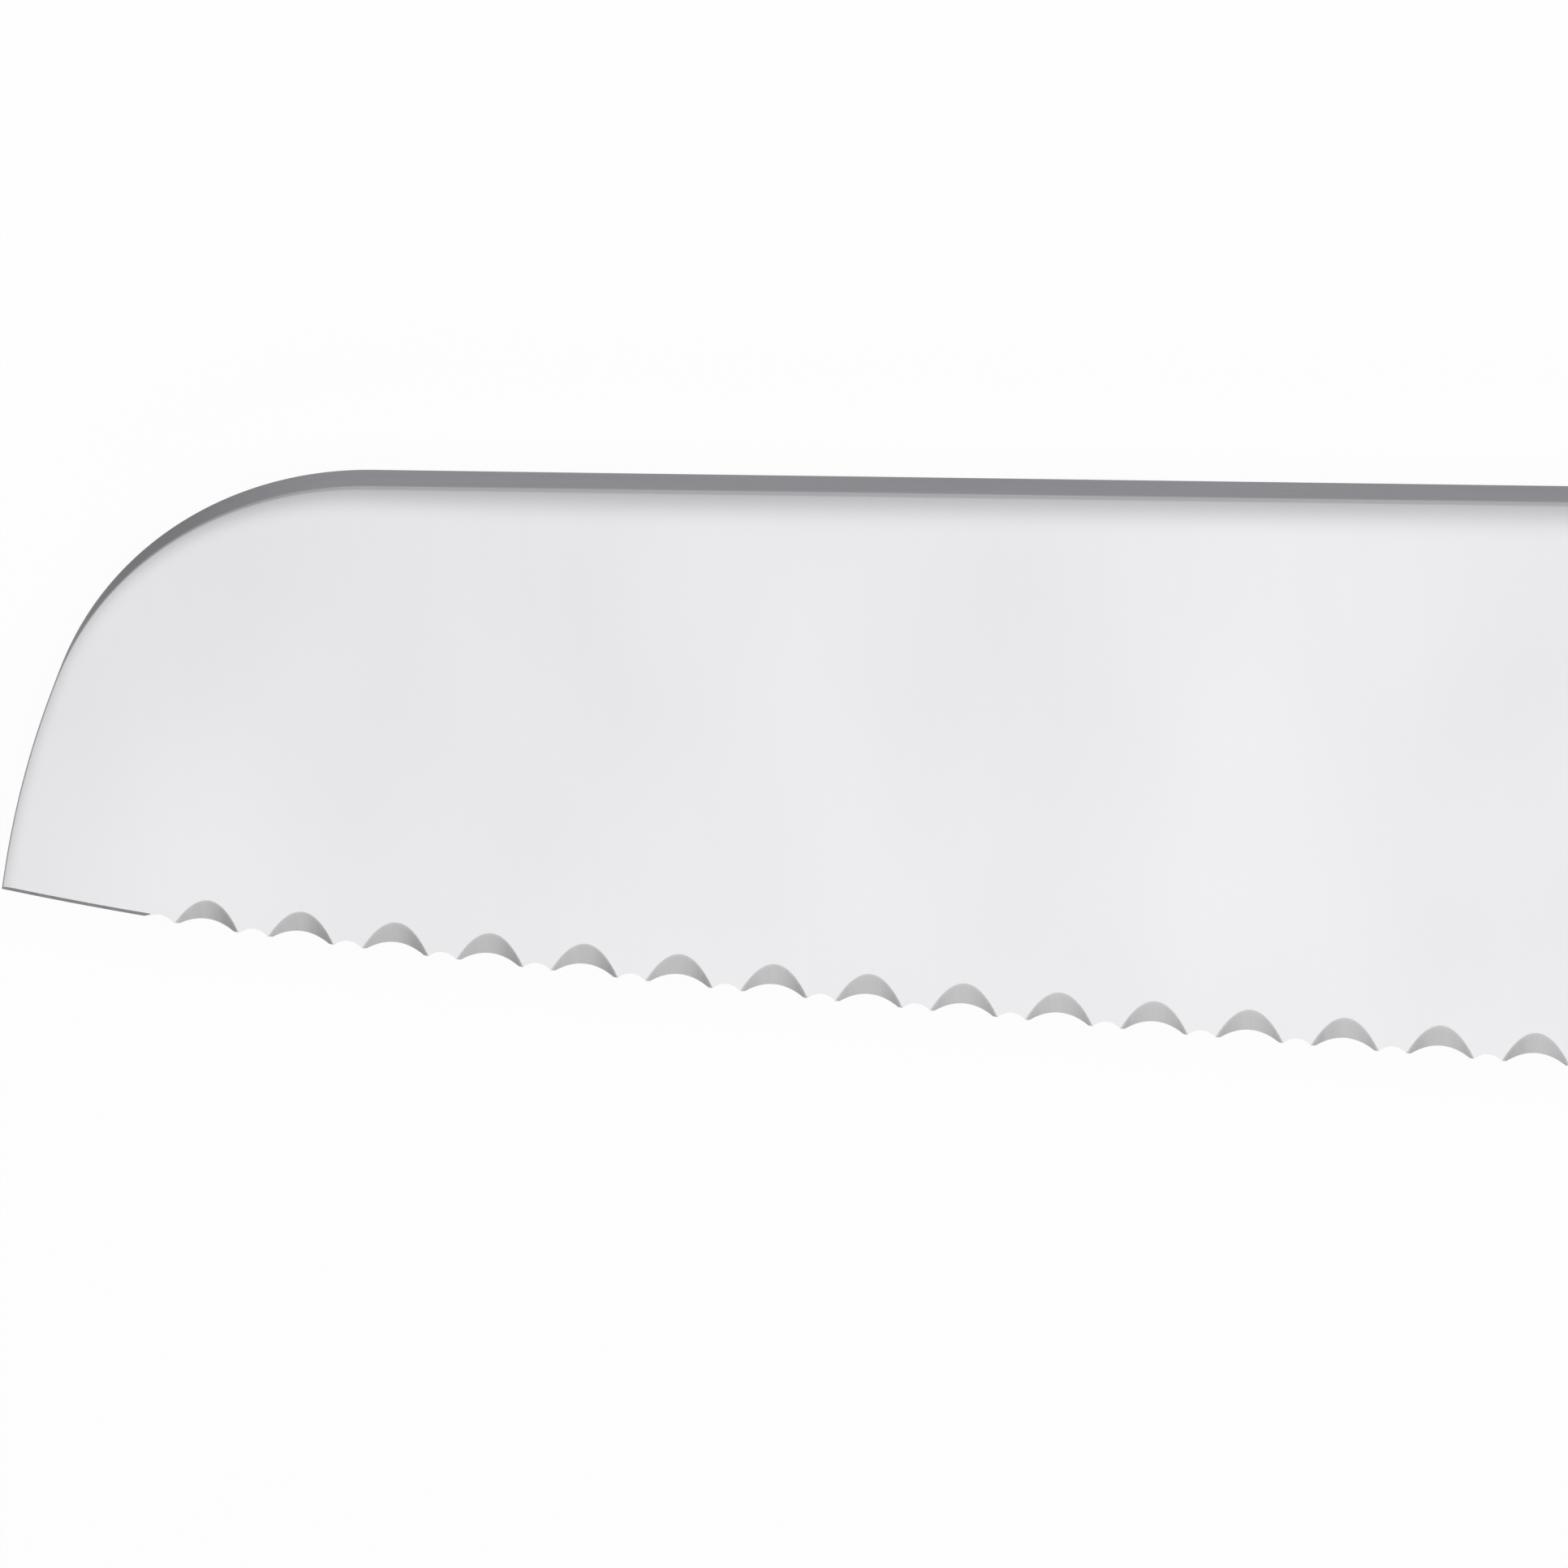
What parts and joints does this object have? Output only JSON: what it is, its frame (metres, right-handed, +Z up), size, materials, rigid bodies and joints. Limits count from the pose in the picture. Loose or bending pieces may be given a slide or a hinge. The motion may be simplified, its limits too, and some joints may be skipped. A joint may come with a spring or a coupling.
{
  "type": "bread knife",
  "caption": "Bread knife with a deep blade, a dropped nose, alternating wide and narrow scallops, and a riveted full tang handle.",
  "frame": {"origin": "under the centre of the whole knife, on the surface that its handle lies on", "axes": "+X runs from the tip to the butt, +Y points to the spine side, +Z is up, out of the face that the picture shows"},
  "size_m": [0.338, 0.0408, 0.017],
  "materials": {
    "blade_steel": "satin stainless steel",
    "scale_plastic": "fine matt black",
    "rivet_steel": "ground flush"
  },
  "bodies": {
    "root": {"blade": "blade_steel", "upper_scale": "scale_plastic", "lower_scale": "scale_plastic", "front_rivet_sleeve": "rivet_steel", "middle_rivet_sleeve": "rivet_steel", "rear_rivet_sleeve": "rivet_steel", "front_rivet_pin": "rivet_steel", "middle_rivet_pin": "rivet_steel", "rear_rivet_pin": "rivet_steel"}
  },
  "joints": []
}
